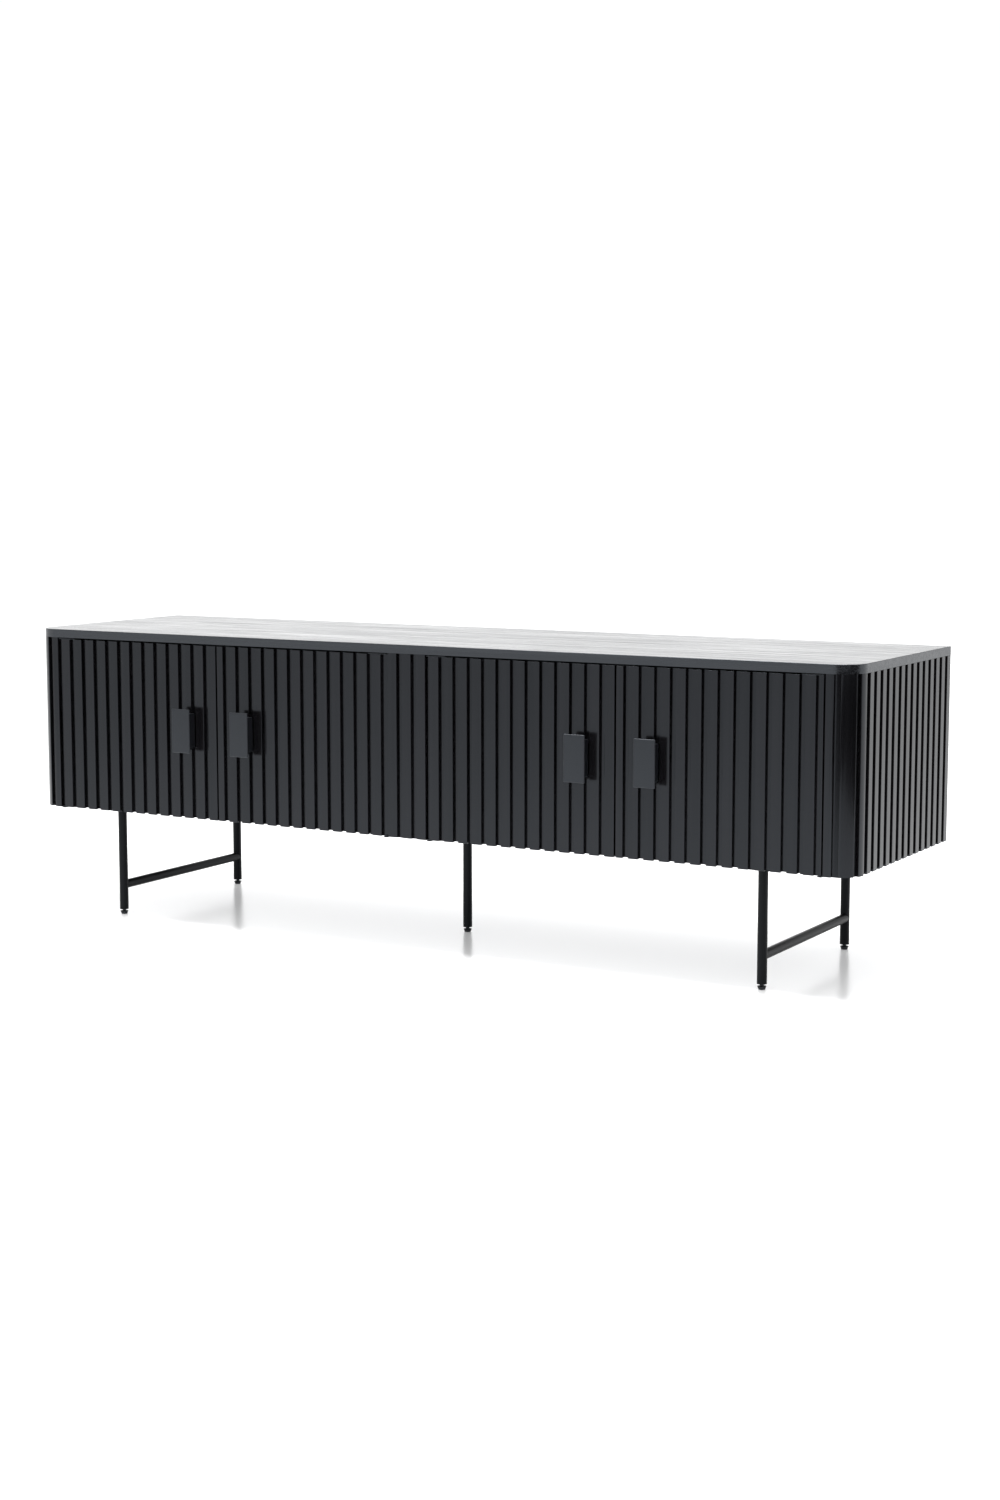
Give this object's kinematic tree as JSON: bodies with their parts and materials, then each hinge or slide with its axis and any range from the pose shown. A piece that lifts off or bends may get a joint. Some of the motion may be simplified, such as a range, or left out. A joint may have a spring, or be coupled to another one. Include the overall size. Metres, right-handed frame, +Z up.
{
  "type": "sideboard buffet",
  "caption": "Low wide black sideboard with fluted hinged doors, rounded front corners and a steel tube base with adjustable glides.",
  "frame": {"origin": "on the floor, midway across the width and midway from the handles' fronts to the back", "axes": "+Z up, -Y the front with the doors, +X to the right seen from the front"},
  "size_m": [1.5, 0.422, 0.49],
  "materials": {
    "black_wood": "black open-pore paint, satin",
    "back_board": "black painted board, matte",
    "handle_metal": "black satin",
    "leg_metal": "black powder coat, satin",
    "black_plated_steel": "black plated steel",
    "fixing_steel": "zinc plated",
    "black_plastic": "moulded, matte",
    "dowel_beech": "raw beech"
  },
  "bodies": {
    "cabinet": {"top_panel": "black_wood", "bottom_panel": "black_wood", "back_panel": "back_board", "left_side_panel": "black_wood", "right_side_panel": "black_wood", "left_side_slats": "black_wood", "right_side_slats": "black_wood", "left_corner_post": "black_wood", "right_corner_post": "black_wood", "centre_post": "black_wood", "centre_stile_slats": "black_wood", "centre_divider": "black_wood", "left_shelf": "black_wood", "right_shelf": "black_wood", "shelf_pins": "fixing_steel", "carcass_dowels": "dowel_beech", "back_panel_screws": "fixing_steel", "magnetic_catches": "black_plastic", "hinge_and_catch_screws": "fixing_steel", "top_pivot_bushes": "fixing_steel", "bottom_pivot_brackets": "black_plated_steel", "left_front_leg": "leg_metal", "left_back_leg": "leg_metal", "left_crossbar": "leg_metal", "right_front_leg": "leg_metal", "right_back_leg": "leg_metal", "right_crossbar": "leg_metal", "centre_leg": "leg_metal", "leg_plates": "leg_metal", "leg_screws": "fixing_steel", "glide_inserts": "black_plastic"},
    "left_outer_door": {"left_outer_panel": "black_wood", "left_outer_slats": "black_wood", "left_outer_handle": "handle_metal", "left_outer_pivots": "black_plated_steel", "left_outer_strike": "fixing_steel", "left_outer_screws": "fixing_steel"},
    "left_inner_door": {"left_inner_panel": "black_wood", "left_inner_slats": "black_wood", "left_inner_handle": "handle_metal", "left_inner_pivots": "black_plated_steel", "left_inner_strike": "fixing_steel", "left_inner_screws": "fixing_steel"},
    "right_inner_door": {"right_inner_panel": "black_wood", "right_inner_slats": "black_wood", "right_inner_handle": "handle_metal", "right_inner_pivots": "black_plated_steel", "right_inner_strike": "fixing_steel", "right_inner_screws": "fixing_steel"},
    "right_outer_door": {"right_outer_panel": "black_wood", "right_outer_slats": "black_wood", "right_outer_handle": "handle_metal", "right_outer_pivots": "black_plated_steel", "right_outer_strike": "fixing_steel", "right_outer_screws": "fixing_steel"},
    "glide_right_front_foot": {"glide_right_front": "black_plastic"},
    "glide_right_back_foot": {"glide_right_back": "black_plastic"},
    "glide_left_front_foot": {"glide_left_front": "black_plastic"},
    "glide_left_back_foot": {"glide_left_back": "black_plastic"},
    "glide_centre_foot": {"glide_centre": "black_plastic"}
  },
  "joints": [
    {"name": "left_outer_door_hinge", "type": "hinge", "parent": "cabinet", "child": "left_outer_door", "pos_m": [-0.6968, -0.1855, 0.3295], "axis": [0, 0, -1], "range_deg": [0, 90]},
    {"name": "left_inner_door_hinge", "type": "hinge", "parent": "cabinet", "child": "left_inner_door", "pos_m": [-0.03995, -0.1855, 0.3295], "axis": [0, 0, 1], "range_deg": [0, 90]},
    {"name": "right_inner_door_hinge", "type": "hinge", "parent": "cabinet", "child": "right_inner_door", "pos_m": [0.03995, -0.1855, 0.3295], "axis": [0, 0, -1], "range_deg": [0, 90]},
    {"name": "right_outer_door_hinge", "type": "hinge", "parent": "cabinet", "child": "right_outer_door", "pos_m": [0.6968, -0.1855, 0.3295], "axis": [0, 0, 1], "range_deg": [0, 90]},
    {"name": "glide_right_front_height", "type": "slide", "parent": "cabinet", "child": "glide_right_front_foot", "axis": [0, 0, -1], "range_m": [0, 0.008]},
    {"name": "glide_right_back_height", "type": "slide", "parent": "cabinet", "child": "glide_right_back_foot", "axis": [0, 0, -1], "range_m": [0, 0.008]},
    {"name": "glide_left_front_height", "type": "slide", "parent": "cabinet", "child": "glide_left_front_foot", "axis": [0, 0, -1], "range_m": [0, 0.008]},
    {"name": "glide_left_back_height", "type": "slide", "parent": "cabinet", "child": "glide_left_back_foot", "axis": [0, 0, -1], "range_m": [0, 0.008]},
    {"name": "glide_centre_height", "type": "slide", "parent": "cabinet", "child": "glide_centre_foot", "axis": [0, 0, -1], "range_m": [0, 0.008]}
  ]
}
